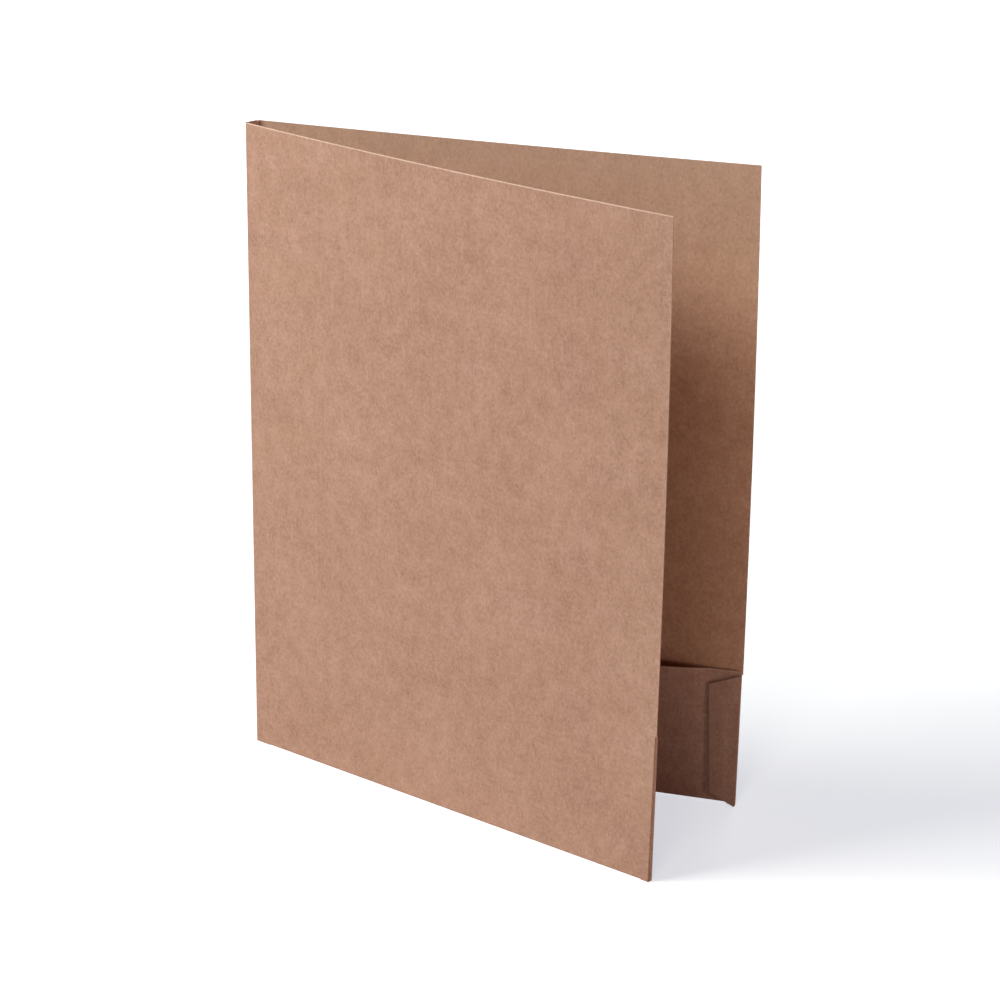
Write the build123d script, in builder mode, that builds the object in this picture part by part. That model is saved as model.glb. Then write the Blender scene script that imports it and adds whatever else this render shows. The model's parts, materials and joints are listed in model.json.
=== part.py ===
"""Two-pocket folder of creased kraft board, standing half open on its lower edges.

Millimetres, Z up. The origin is the middle of the footprint on the floor, and the back
cover runs along X with its outer face towards +Y.
"""

import os
from dataclasses import dataclass
from math import cos, radians, sin

from build123d import *

# Board and folds
board = 0.5
bend_radius = 0.3  # inside every crease
crease_gap = 0.05  # between a flat panel and the bent strip of its spine crease
opening_angle = 20.5  # degrees between the covers as the folder stands
back_fold = 55.0  # degrees the back spine crease is folded then
half_turn = 180.0
right_angle = 90.0  # fold of every pocket crease

# Covers
cover_width = 235.0
cover_height = 310.0
paper_room = 1.6  # between the two tabs with the covers parallel

# Curl of the covers, counted inward from the flat
back_top_curl = 1.7  # at the middle of the top edge
back_edge_curl = -5.2  # at the middle of the free edge
back_corner_curl = -2.7  # at the free top corner
front_top_curl = -3.5
front_edge_curl = 2.2
front_corner_curl = 4.4
cut_reach = 20.0  # of the outline cuts, past any curl

# Pockets
back_pocket_height = 67.0
front_pocket_height = 73.0
pocket_depth = 1.4
pocket_inset = 8.0  # inner end of the pocket, from the spine crease
pocket_slant = 4.0  # lean of that end away from the spine at the mouth
back_spring = 10.0  # pull on the curve of the mouth, which stands out by about half of it
front_spring = 3.0
spring_start = 0.4  # where along the mouth the pull begins and where it is full
spring_full = 0.68
corner_relief = 5.0  # base stops this far short of the side wall
corner_rise = 3.0

# Glue tabs
tab_width = 15.0
tab_taper = 5.5
tab_lean = 3.0  # inner edge of the tab, closer to the side wall at its foot
tab_drop = 2.0  # top of the tab below the pocket mouth
glue_film = 0.1
glue_margin = 3.0
side_step = 0.4  # side wall stands in from the cover's free edge
notch_radius = 0.8  # relief where the side crease ends

# Sizes that follow
front_fold = half_turn - opening_angle - back_fold
fold_reach = bend_radius + board
middle_radius = bend_radius + board / 2
panel_depth = board + pocket_depth
tab_depth = panel_depth + board + glue_film
spine_gap = 2 * tab_depth + paper_room
spine_flat = spine_gap - 2 * bend_radius
cover_end = cover_width - fold_reach
side_face = cover_end - side_step
side_line = side_face - fold_reach
tab_inner = side_face - tab_width
base_end = side_face - corner_relief
mouth_run = tab_inner - pocket_inset
up = Vector(0, 0, 1)


def heading(angle: float) -> Vector:
    """Horizontal unit vector at an angle in degrees from +X."""
    return Vector(cos(radians(angle)), sin(radians(angle)))


def levels(foot: float, top: float) -> tuple:
    """Heights of the three sections through which a curled piece is lofted."""
    return (foot, (foot + top) / 2, top)


@dataclass(frozen=True)
class Curl:
    """Bend of a cover that leaves its foot and its spine edge straight, counted inward."""

    top: float
    edge: float
    corner: float

    def at(self, x: float, z: float) -> float:
        """Bend at a place on the cover."""
        across = x / cover_end
        height = z / cover_height
        top = self.top * 4 * across * (1 - across) * height**2
        edge = self.edge * 4 * height * (1 - height) * across**2
        return top + edge + self.corner * across * height

    @property
    def outmost(self) -> float:
        """Furthest that an outward free edge stands off the flat, where it runs upright."""
        height = cover_height * (1 / 2 + self.corner / (8 * self.edge))
        return -self.at(cover_end, height)


back_curl = Curl(back_top_curl, back_edge_curl, back_corner_curl)
front_curl = Curl(front_top_curl, front_edge_curl, front_corner_curl)

# The crease axes are the centres of the two spine bends, and the footprint is centred on the origin
spine_heading = half_turn + back_fold
front_heading = spine_heading + front_fold
spine_run = heading(spine_heading) * spine_flat
footprint_left = spine_run.X - fold_reach
footprint_front = (spine_run + heading(front_heading) * side_line).Y - fold_reach
footprint_back = back_curl.outmost + fold_reach
back_axis = Vector(-(footprint_left + cover_end) / 2, -(footprint_front + footprint_back) / 2)
front_axis = back_axis + spine_run


@dataclass(frozen=True)
class Leaf:
    """One cover with its pocket: x runs out from the crease axis, depth in from the outer face."""

    name: str
    axis: Vector
    along: Vector
    inward: Vector
    pocket_height: float
    spring: float
    curl: Curl

    @property
    def side_top(self) -> float:
        """Height of the side wall and of the outer edge of its tab."""
        return self.pocket_height - tab_drop

    @property
    def tab_outline(self) -> tuple:
        """Corners of the tab as (x, height)."""
        return (
            (side_line, 0),
            (side_line, self.side_top),
            (tab_inner, self.side_top - tab_taper),
            (tab_inner + tab_lean, tab_taper),
        )

    def corner(self, x: float, z: float) -> Vector:
        """Point on the outer face, before it curls."""
        return self.axis + self.along * x - self.inward * fold_reach + up * z

    def face(self, depth: float) -> Plane:
        """Plane parallel to the flat cover, drawn in (x, height)."""
        return Plane(self.corner(0, 0) + self.inward * depth, self.along, self.along.cross(up))

    def section(self, x: float) -> Plane:
        """Plane across the cover, drawn in (depth, height)."""
        return Plane(self.corner(x, 0), self.inward, self.inward.cross(up))

    def plan(self, z: float) -> Plane:
        """Level plane, drawn in (x, depth)."""
        return Plane(self.corner(0, z), self.along, self.along.cross(self.inward))

    def curled(self, x: float, depth: float, z: float) -> tuple:
        """Point of a level plane that curls with the cover, as far as the side crease."""
        return (x, depth + self.curl.at(min(x, side_line), z))

    def cover_curve(self, depth: float, z: float) -> tuple:
        """Bezier points of the cover's curl at a height."""
        middle = (crease_gap + cover_end) / 2
        start = self.curl.at(crease_gap, z)
        stop = self.curl.at(cover_end, z)
        pull = 2 * self.curl.at(middle, z) - (start + stop) / 2
        return ((crease_gap, depth + start), (middle, depth + pull), (cover_end, depth + stop))

    def mouth_curve(self, depth: float, z: float) -> tuple:
        """Bezier points of the sprung part of the pocket panel at a height."""
        pull = self.spring * (z - fold_reach) / (self.pocket_height - fold_reach)
        return (
            self.curled(pocket_inset, depth, z),
            self.curled(pocket_inset + mouth_run * spring_start, depth, z),
            self.curled(pocket_inset + mouth_run * spring_full, depth + pull, z),
            self.curled(tab_inner, depth, z),
        )


back = Leaf(
    "back", back_axis, heading(0), heading(-right_angle), back_pocket_height, back_spring, back_curl
)
front = Leaf(
    "front",
    front_axis,
    heading(front_heading),
    heading(front_heading + right_angle),
    front_pocket_height,
    front_spring,
    front_curl,
)


def make_crease(plane: Plane, centre: tuple, start: float, fold: float, run: Vector) -> Part:
    """Bent strip of board about a centre in the given plane, drawn out along a straight run."""
    with BuildPart() as crease:
        with BuildSketch(plane):
            with BuildLine():
                CenterArc(centre, middle_radius, start, fold)
            trace(line_width=board)
        extrude(amount=run.length, dir=run)
    return crease.part


def make_side_crease(leaf: Leaf, depth: float, start: float) -> Part:
    """Bent strip beside the pocket, which follows its cover in two straight lengths."""
    with BuildPart() as crease:
        for z in levels(0, leaf.side_top):
            with BuildSketch(leaf.plan(z)):
                with BuildLine():
                    CenterArc(leaf.curled(side_line, depth, z), middle_radius, start, right_angle)
                trace(line_width=board)
        loft(ruled=True)
    return crease.part


def make_strip(leaf: Leaf, ends: tuple, depths: tuple, heights: tuple, ruled: bool = False) -> Part:
    """Upright strip between two ends, depths and heights, which follows the curl of its cover."""
    with BuildPart() as strip:
        for z in levels(*heights):
            with BuildSketch(leaf.plan(z)):
                with BuildLine():
                    Polyline(
                        leaf.curled(ends[0], depths[0], z),
                        leaf.curled(ends[1], depths[0], z),
                        leaf.curled(ends[1], depths[1], z),
                        leaf.curled(ends[0], depths[1], z),
                        close=True,
                    )
                make_face()
        loft(ruled=ruled)
    return strip.part


def make_spine() -> Part:
    """Flat strip between the two spine creases."""
    run = heading(spine_heading)
    start = back_axis + heading(right_angle + back_fold) * middle_radius
    with BuildPart() as spine:
        with BuildSketch(Plane.XY):
            with BuildLine():
                Line(start + run * crease_gap, start + run * (spine_flat - crease_gap))
            trace(line_width=board)
        extrude(amount=cover_height, dir=up)
    return spine.part


def make_cover(leaf: Leaf) -> Part:
    """Large curled panel, cut back along its pocket creases and notched where the side crease ends."""
    with BuildPart() as cover:
        for z in levels(0, cover_height):
            outer = leaf.cover_curve(0, z)
            inner = leaf.cover_curve(board, z)
            with BuildSketch(leaf.plan(z)):
                with BuildLine():
                    Bezier(*outer)
                    Line(outer[-1], inner[-1])
                    Bezier(*reversed(inner))
                    Line(inner[0], outer[0])
                make_face()
        loft()
        with BuildSketch(leaf.face(0)):
            with BuildLine():
                Polyline(
                    (pocket_inset, 0),
                    (pocket_inset, fold_reach),
                    (base_end, fold_reach),
                    (base_end + fold_reach, 0),
                    close=True,
                )
            make_face()
            with Locations((side_line, 0)):
                Rectangle(cover_width, leaf.side_top, align=(Align.MIN, Align.MIN))
            with Locations((side_line, leaf.side_top)):
                Circle(notch_radius)
        extrude(amount=cut_reach, both=True, mode=Mode.SUBTRACT)
    return cover.part


def make_base(leaf: Leaf) -> Part:
    """Flat strip under the pocket, between its two creases."""
    with BuildPart() as base:
        with BuildSketch(leaf.section(pocket_inset)):
            with BuildLine():
                Line((fold_reach, board / 2), (panel_depth - bend_radius, board / 2))
            trace(line_width=board)
        extrude(amount=base_end - pocket_inset, dir=leaf.along)
    return base.part


def make_panel(leaf: Leaf) -> Part:
    """Pocket panel, straight along its base, sprung open along its mouth and plain under the tab."""
    depths = (panel_depth, panel_depth + board)
    heights = (fold_reach, leaf.pocket_height)
    under_tab = make_strip(leaf, (tab_inner, side_line), depths, heights)
    with BuildPart() as panel:
        for z in levels(*heights):
            inner = leaf.mouth_curve(depths[0], z)
            outer = leaf.mouth_curve(depths[1], z)
            with BuildSketch(leaf.plan(z)):
                with BuildLine():
                    Bezier(*inner)
                    Line(inner[-1], outer[-1])
                    Bezier(*reversed(outer))
                    Line(outer[0], inner[0])
                make_face()
        loft()
        add(under_tab)
        with BuildSketch(leaf.face(0)):
            with BuildLine():
                Polyline(
                    (pocket_inset, fold_reach),
                    (pocket_inset + pocket_slant, leaf.pocket_height),
                    (pocket_inset, leaf.pocket_height),
                    close=True,
                )
            make_face()
            with BuildLine():
                Polyline(
                    (base_end, fold_reach),
                    (side_line, fold_reach),
                    (side_line, fold_reach + corner_rise),
                    close=True,
                )
            make_face()
        extrude(amount=cut_reach, both=True, mode=Mode.SUBTRACT)
    return panel.part


def make_side(leaf: Leaf) -> Part:
    """Narrow wall from the cover's outer edge to the glue tab, between its two creases."""
    ends = (side_face - board, side_face)
    depths = (fold_reach, tab_depth - bend_radius)
    return make_strip(leaf, ends, depths, (0, leaf.side_top), ruled=True)


def make_tab(leaf: Leaf) -> Part:
    """Tapered tab that lies over the outside of the pocket panel."""
    depths = (tab_depth, tab_depth + board)
    strip = make_strip(leaf, (tab_inner, side_line), depths, (0, leaf.side_top))
    with BuildPart() as tab:
        add(strip)
        with BuildSketch(leaf.face(0)):
            with BuildLine():
                Polyline(*leaf.tab_outline, close=True)
            make_face()
        extrude(amount=cut_reach, both=True, mode=Mode.INTERSECT)
    return tab.part


def make_glue(leaf: Leaf) -> Part:
    """Dried glue between tab and panel, set back from the edges of the tab."""
    depths = (panel_depth + board, tab_depth)
    strip = make_strip(leaf, (tab_inner, side_line), depths, (0, leaf.side_top))
    with BuildPart() as glue:
        add(strip)
        with BuildSketch(leaf.face(0)):
            with BuildLine():
                Polyline(*leaf.tab_outline, close=True)
            make_face()
            offset(amount=-glue_margin, kind=Kind.INTERSECTION, mode=Mode.REPLACE)
        extrude(amount=cut_reach, both=True, mode=Mode.INTERSECT)
    return glue.part


pieces = {
    "spine": make_spine(),
    "back_spine_crease": make_crease(Plane.XY, back_axis, right_angle, back_fold, up * cover_height),
    "front_spine_crease": make_crease(
        Plane.XY, front_axis, right_angle + back_fold, front_fold, up * cover_height
    ),
}
for leaf in (back, front):
    base_run = leaf.along * (base_end - pocket_inset)
    section = leaf.section(pocket_inset)
    near_cover = (fold_reach, fold_reach)
    near_panel = (panel_depth - bend_radius, fold_reach)
    pieces[f"{leaf.name}_cover"] = make_cover(leaf)
    pieces[f"{leaf.name}_base_crease"] = make_crease(section, near_cover, 180, right_angle, base_run)
    pieces[f"{leaf.name}_pocket_base"] = make_base(leaf)
    pieces[f"{leaf.name}_pocket_crease"] = make_crease(section, near_panel, 270, right_angle, base_run)
    pieces[f"{leaf.name}_pocket_panel"] = make_panel(leaf)
    pieces[f"{leaf.name}_side_crease"] = make_side_crease(leaf, fold_reach, 270)
    pieces[f"{leaf.name}_pocket_side"] = make_side(leaf)
    pieces[f"{leaf.name}_tab_crease"] = make_side_crease(leaf, tab_depth - bend_radius, 0)
    pieces[f"{leaf.name}_glue_tab"] = make_tab(leaf)
    pieces[f"{leaf.name}_glue_line"] = make_glue(leaf)

os.makedirs("parts", exist_ok=True)
for name, piece in pieces.items():
    piece.label = name
    export_step(piece, f"parts/{name}.step")
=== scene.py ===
"""Two pocket folder of kraft board: its finished surfaces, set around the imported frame, and its studio.

Metres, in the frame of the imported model. Each leaf is shaped flat on its own axes, with x out from the
spine crease, y towards the back and z up. One node tree then curls it, gives it its board thickness and
turns it to its heading.
"""

import json
import logging
from dataclasses import dataclass
from enum import Enum
from itertools import pairwise
from math import asin, atan2, cos, pi, radians, sin, tan
from typing import Any, Sequence

import bpy
from mathutils import Matrix, Vector
from mathutils.geometry import delaunay_2d_cdt


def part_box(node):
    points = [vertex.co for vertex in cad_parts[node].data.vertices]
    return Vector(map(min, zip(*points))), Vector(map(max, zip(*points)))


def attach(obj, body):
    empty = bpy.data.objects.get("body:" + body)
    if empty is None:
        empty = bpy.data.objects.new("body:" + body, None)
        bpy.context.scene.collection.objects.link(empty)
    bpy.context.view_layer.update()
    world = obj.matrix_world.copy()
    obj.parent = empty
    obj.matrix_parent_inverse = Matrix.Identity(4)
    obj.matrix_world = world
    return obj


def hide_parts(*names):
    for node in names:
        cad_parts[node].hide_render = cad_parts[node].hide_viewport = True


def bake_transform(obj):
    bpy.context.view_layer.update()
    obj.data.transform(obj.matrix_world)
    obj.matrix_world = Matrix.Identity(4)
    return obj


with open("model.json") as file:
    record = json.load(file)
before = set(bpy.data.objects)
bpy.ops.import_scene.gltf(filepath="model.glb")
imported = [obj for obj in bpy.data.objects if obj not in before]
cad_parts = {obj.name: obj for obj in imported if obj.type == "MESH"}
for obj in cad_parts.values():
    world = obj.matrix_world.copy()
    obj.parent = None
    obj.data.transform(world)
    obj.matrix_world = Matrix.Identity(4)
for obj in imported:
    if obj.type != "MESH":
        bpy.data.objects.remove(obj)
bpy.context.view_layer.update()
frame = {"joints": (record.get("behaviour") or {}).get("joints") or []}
log = logging.getLogger("folder")

BLANK_PLACE = "blank_place"
CREASE = "crease"
EDGE_WEAR = "edge_wear"
SHARP_ANGLE = radians(38)
NEAR = 1e-7  # points closer than this are one
NOISE_MIDDLE = 0.5
FINE_FROM = 0.9  # share of a run where its steps become finer
UP = Vector((0, 0, 1))

Colour = tuple[float, float, float, float]
Outline = list[tuple[float, float]]
Spot = tuple[Vector, Vector, float, float]  # a point, its place on the blank, its crease and its wear
LinePoint = tuple[Vector, float, float]  # middle of a strip, its place across the blank and its crease
Socket = bpy.types.NodeSocket
Material = bpy.types.Material
Piece = bpy.types.Object


class LeafName(Enum):
    """The two leaves, named as the first word of their CAD nodes."""

    BACK = "back"
    FRONT = "front"

    @property
    def body(self) -> str:
        """CAD body that the leaf's pieces ride on."""
        return f"{self.value}_cover"

    def nodes(self, *words: str) -> list[str]:
        """CAD node names of this leaf."""
        return [f"{self.value}_{word}" for word in words]


def screen_colour(red: int, green: int, blue: int) -> Colour:
    """Linear colour of an 8-bit screen colour.

    Args:
        red, green, blue: levels from 0 to 255.

    Returns:
        Linear red, green and blue, with an alpha of 1.
    """
    levels = [level / 255 for level in (red, green, blue)]
    linear = [x / 12.92 if x <= 0.04045 else ((x + 0.055) / 1.055) ** 2.4 for x in levels]
    return (*linear, 1.0)


def shifted(base: tuple[int, int, int], step: int) -> Colour:
    """Linear colour of a screen colour made lighter or darker by the same step in every channel."""
    red, green, blue = (min(max(level + step, 0), 255) for level in base)
    return screen_colour(red, green, blue)


def smooth_step(value: float) -> float:
    """Smooth rise from 0 to 1 as the value goes from 0 to 1."""
    t = min(max(value, 0.0), 1.0)
    return t * t * (3 - 2 * t)


def spread(start: float, stop: float, steps: int) -> list[float]:
    """Even values from start to stop, both included."""
    return [start + (stop - start) * i / steps for i in range(steps + 1)]


def finer_end(coarse: int, fine: int) -> list[float]:
    """Shares from 0 to 1 in even steps, with finer ones at the end."""
    return spread(0, FINE_FROM, coarse) + spread(FINE_FROM, 1, fine)[1:]


class NodeSketch:
    """Adds nodes to a tree and links their sockets."""

    MIX_INPUTS = (0, 6, 7)  # factor and two colours of a Mix node for colours
    MIX_RESULT = 2

    def __init__(self, tree: bpy.types.NodeTree) -> None:
        """Starts on an empty tree."""
        self.tree = tree

    def add(self, kind: str, inputs: dict[Any, Any] | None = None, **settings: Any) -> bpy.types.Node:
        """Adds one node.

        Args:
            kind: node type.
            inputs: values or sockets by input name or index.
            settings: properties of the node itself.

        Returns:
            The new node.
        """
        node = self.tree.nodes.new(kind)
        for name, value in settings.items():
            setattr(node, name, value)
        for key, value in (inputs or {}).items():
            if isinstance(value, Socket):
                self.tree.links.new(value, node.inputs[key])
            else:
                node.inputs[key].default_value = value
        return node

    def math(self, operation: str, first: Any, second: Any = 0.0, clamp: bool = False) -> Socket:
        """Adds a Math node.

        Args:
            operation: its operation.
            first, second: values or sockets.
            clamp: whether the result is held between 0 and 1.

        Returns:
            The result's socket.
        """
        node = self.add("ShaderNodeMath", {0: first, 1: second}, operation=operation, use_clamp=clamp)
        return node.outputs[0]

    def product(self, *factors: Any) -> Socket:
        """Multiplies values.

        Args:
            factors: values or sockets.

        Returns:
            The product's socket.
        """
        total = factors[0]
        for factor in factors[1:]:
            total = self.math("MULTIPLY", total, factor)
        return total

    def swing(self, noise: Socket, gain: Any) -> Socket:
        """Socket that swings about 0 with a noise, by half the gain to each side."""
        return self.math("MULTIPLY", self.math("SUBTRACT", noise, NOISE_MIDDLE), gain)

    def blend(self, amount: Any, first: Any, second: Any, how: str = "MIX") -> Socket:
        """Adds a colour Mix node.

        Args:
            amount: how much of the second colour shows.
            first, second: colours or sockets.
            how: blend type.

        Returns:
            The mixed colour's socket.
        """
        inputs = dict(zip(self.MIX_INPUTS, (amount, first, second)))
        mix = self.add("ShaderNodeMix", inputs, data_type="RGBA", blend_type=how)
        return mix.outputs[self.MIX_RESULT]

    def ramp(
        self,
        value: Socket,
        low: float,
        high: float,
        first: float = 0.0,
        last: float = 1.0,
        easing: str = "LINEAR",
    ) -> Socket:
        """Adds a Map Range node.

        Args:
            value: socket that it maps.
            low, high: values where it starts and ends.
            first, last: results there.
            easing: interpolation type.

        Returns:
            The result's socket.
        """
        inputs = {"Value": value, "From Min": low, "From Max": high, "To Min": first, "To Max": last}
        return self.add("ShaderNodeMapRange", inputs, interpolation_type=easing).outputs[0]

    def stored(self, name: str, output: str = "Fac") -> Socket:
        """Socket of a number or vector that is stored on the mesh."""
        return self.add("ShaderNodeAttribute", attribute_name=name).outputs[output]

    def seen(self) -> Socket:
        """Adds the test for what the camera sees, straight or by way of gloss or glass.

        Returns:
            Socket that is 1 for such rays and 0 for the light between matt surfaces.
        """
        path = self.add("ShaderNodeLightPath").outputs
        direct = self.math("MAXIMUM", path["Is Camera Ray"], path["Is Glossy Ray"])
        return self.math("MAXIMUM", direct, path["Is Transmission Ray"])

    def bump(self, height: Socket, strength: float, depth: float) -> Socket:
        """Socket of the normal of a surface that follows a height."""
        inputs = {"Strength": strength, "Distance": depth, "Height": height}
        return self.add("ShaderNodeBump", inputs).outputs[0]

    def finish(self, inputs: dict[str, Any]) -> None:
        """Ends a material in a Principled shader with these inputs."""
        shader = self.add("ShaderNodeBsdfPrincipled", inputs)
        self.add("ShaderNodeOutputMaterial", {"Surface": shader.outputs[0]})


@dataclass(frozen=True)
class Grain:
    """One layer of noise on the blank: features per metre across and along the fibres."""

    across: float
    along: float
    detail: float
    roughness: float
    weight: float
    shift: float = 0.0

    def add_to(self, sketch: NodeSketch, place: Socket) -> Socket:
        """Adds the layer.

        Args:
            sketch: the material's tree.
            place: socket with the place on the blank.

        Returns:
            Noise from 0 to 1.
        """
        shift = (self.shift, self.shift, self.shift)
        scale = (self.across, self.across, self.along)
        mapping = sketch.add("ShaderNodeMapping", {"Vector": place, "Location": shift, "Scale": scale})
        inputs = {
            "Vector": mapping.outputs[0],
            "Scale": 1.0,
            "Detail": self.detail,
            "Roughness": self.roughness,
        }
        return sketch.add("ShaderNodeTexNoise", inputs).outputs[0]


def new_material(name: str) -> tuple[Material, NodeSketch]:
    """Makes an empty node material.

    Args:
        name: its name.

    Returns:
        The material and a sketch of its tree.
    """
    material = bpy.data.materials.new(name)
    material.use_nodes = True
    material.node_tree.nodes.clear()
    return material, NodeSketch(material.node_tree)


@dataclass(frozen=True)
class KraftFace:
    """Face of the board: cloudy brown pulp with fibres and flecks, painted shade along every fold, a painted
    highlight on its top rim and rubbing on its edges.
    """

    name: str = "kraft_outside"
    base: tuple[int, int, int] = (177, 134, 116)
    swing: int = 26  # from the base to its darkest and lightest pulp
    pale_step: int = 36
    dark_step: int = -50
    yellowed: Colour = screen_colour(177, 135, 108)
    # colour of the rubbing on edges and of the painted highlight on the top rim
    rub_and_highlight_colour: Colour = screen_colour(250, 214, 194)
    layers: tuple[Grain, ...] = (
        Grain(24, 24, 2, 0.5, 0.5),
        Grain(150, 120, 2, 0.5, 0.75, 3.0),
        Grain(600, 460, 2, 0.55, 1.0, 7.0),
        Grain(1200, 900, 1, 0.5, 0.72, 9.0),
    )
    ageing: Grain = Grain(40, 40, 2, 0.5, 0.5, 13.0)
    pale_flecks: Grain = Grain(1300, 520, 1, 0.5, 0.35, 11.0)
    dark_flecks: Grain = Grain(1200, 560, 1, 0.5, 0.35, 17.0)
    fleck_start: float = 0.62
    fleck_full: float = 0.74
    fibre_layer: int = 2  # layer that also sets the sheen and the patches of rubbing and of the painted highlight
    fold_shade_share: float = 0.35  # how dark the painted shade along a fold is
    rub_and_highlight_patches: float = 2.0  # how close together the patches of rubbing and of the painted highlight lie
    rim_height: float = 0.31  # top of the blank
    # painted highlight: a thin band at the top of the blank is lightened
    rim_band: float = 0.0006
    rim_highlight: float = 1.0
    painted_top_light: Colour = (0.12, 0.12, 0.11, 1.0)  # painted light, added towards the top of the blank
    painted_top_light_start: float = 0.21
    painted_top_light_share: float = 0.0
    rough: float = 0.86
    rough_swing: float = 0.16
    shine: float = 0.22
    bump_strength: float = 0.35
    bump_depth: float = 0.00005

    def build(self) -> Material:
        """Builds the material.

        Returns:
            The material.
        """
        material, sketch = new_material(self.name)
        place = sketch.stored(BLANK_PLACE, "Vector")
        noises = [layer.add_to(sketch, place) for layer in self.layers]
        fibres = noises[self.fibre_layer]
        shade: Any = NOISE_MIDDLE
        for layer, noise in zip(self.layers, noises):
            shade = sketch.math("ADD", sketch.swing(noise, layer.weight), shade)
        pulp = self.pulp(sketch, place, shade)
        sketch.finish(
            {
                "Base Color": self.paint_light_and_wear(sketch, place, fibres, pulp),
                "Roughness": sketch.math("ADD", sketch.swing(fibres, self.rough_swing), self.rough),
                "Specular IOR Level": self.shine,
                "Normal": sketch.bump(shade, self.bump_strength, self.bump_depth),
            }
        )
        return material

    def pulp(self, sketch: NodeSketch, place: Socket, shade: Socket) -> Socket:
        """Colours the pulp, with its yellowed clouds and its flecks.

        Args:
            sketch: the material's tree.
            place: socket with the place on the blank.
            shade: socket that is 0 in the darkest pulp and 1 in the lightest.

        Returns:
            The colour's socket.
        """
        dark, light = shifted(self.base, -self.swing), shifted(self.base, self.swing)
        colour = sketch.blend(sketch.math("ADD", shade, 0.0, clamp=True), dark, light)
        aged = sketch.math("MULTIPLY", self.ageing.add_to(sketch, place), self.ageing.weight)
        colour = sketch.blend(aged, colour, self.yellowed)
        for flecks, step in ((self.pale_flecks, self.pale_step), (self.dark_flecks, self.dark_step)):
            noise = flecks.add_to(sketch, place)
            peaks = sketch.ramp(noise, self.fleck_start, self.fleck_full, easing="SMOOTHSTEP")
            amount = sketch.math("MULTIPLY", peaks, flecks.weight)
            colour = sketch.blend(amount, colour, shifted(self.base, step))
        return colour

    def paint_light_and_wear(self, sketch: NodeSketch, place: Socket, fibres: Socket, colour: Socket) -> Socket:
        """Adds painted light towards the top of the pulp, paints shade along every fold, paints a highlight
        on its top rim and rubs its edges.

        Args:
            sketch: the material's tree.
            place: socket with the place on the blank.
            fibres: noise of the fibres, which the rubbing and the painted highlight follow.
            colour: socket of the pulp's colour.

        Returns:
            The colour's socket, with its painted light and shade and its rubbing.
        """
        height = sketch.add("ShaderNodeSeparateXYZ", {0: place}).outputs["Z"]
        # painted light: a grey is added to the pulp towards the top of the blank
        painted_top_light_amount = sketch.ramp(height, self.painted_top_light_start, self.rim_height, last=self.painted_top_light_share)
        colour = sketch.blend(painted_top_light_amount, colour, self.painted_top_light, "ADD")
        # painted shade: the pulp darkens along the middle of every fold
        painted_fold_shade = sketch.math("MULTIPLY", sketch.stored(CREASE), self.fold_shade_share)
        colour = sketch.blend(painted_fold_shade, colour, shifted(self.base, self.dark_step))
        # painted highlight along the top rim, joined with the rubbing of handled edges
        rim = sketch.ramp(height, self.rim_height - self.rim_band, self.rim_height, last=self.rim_highlight)
        wear_and_highlight = sketch.math("MAXIMUM", sketch.stored(EDGE_WEAR), rim)
        patchy = sketch.math("MULTIPLY", fibres, self.rub_and_highlight_patches, clamp=True)
        return sketch.blend(sketch.product(wear_and_highlight, patchy), colour, self.rub_and_highlight_colour)


PALE_SIDE = KraftFace(
    name="kraft_inside",
    base=(196, 146, 118),
    yellowed=screen_colour(197, 148, 112),
    # faint painted highlight on the top rim of the inside face
    rim_highlight=0.1,
    # painted light towards the top of the inside face
    painted_top_light_share=1.0,
)


@dataclass(frozen=True)
class CutBoard:
    """Die-cut edge of the board: paler open fibre, streaked along the cut."""

    name: str = "cut_board"
    dark: Colour = screen_colour(178, 136, 114)
    light: Colour = screen_colour(236, 198, 176)
    streaks: Grain = Grain(900, 900, 3, 0.65, 1.0, 5.0)
    rough: float = 0.95
    shine: float = 0.1
    bump_strength: float = 0.4
    bump_depth: float = 0.00006

    def build(self) -> Material:
        """Builds the material.

        Returns:
            The material.
        """
        material, sketch = new_material(self.name)
        noise = self.streaks.add_to(sketch, sketch.stored(BLANK_PLACE, "Vector"))
        sketch.finish(
            {
                "Base Color": sketch.blend(noise, self.dark, self.light),
                "Roughness": self.rough,
                "Specular IOR Level": self.shine,
                "Normal": sketch.bump(noise, self.bump_strength, self.bump_depth),
            }
        )
        return material


@dataclass(frozen=True)
class DriedGlue:
    """Thin film of dried glue: yellowish, half dull and uneven."""

    name: str = "dried_glue"
    dark: Colour = screen_colour(196, 172, 132)
    light: Colour = screen_colour(232, 216, 184)
    blotches: Grain = Grain(600, 300, 2, 0.5, 1.0, 2.0)
    rough: float = 0.4
    rough_swing: float = 0.3

    def build(self) -> Material:
        """Builds the material.

        Returns:
            The material.
        """
        material, sketch = new_material(self.name)
        noise = self.blotches.add_to(sketch, sketch.stored(BLANK_PLACE, "Vector"))
        rough = sketch.math("ADD", sketch.math("MULTIPLY", noise, self.rough_swing), self.rough)
        sketch.finish({"Base Color": sketch.blend(noise, self.dark, self.light), "Roughness": rough})
        return material


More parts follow.
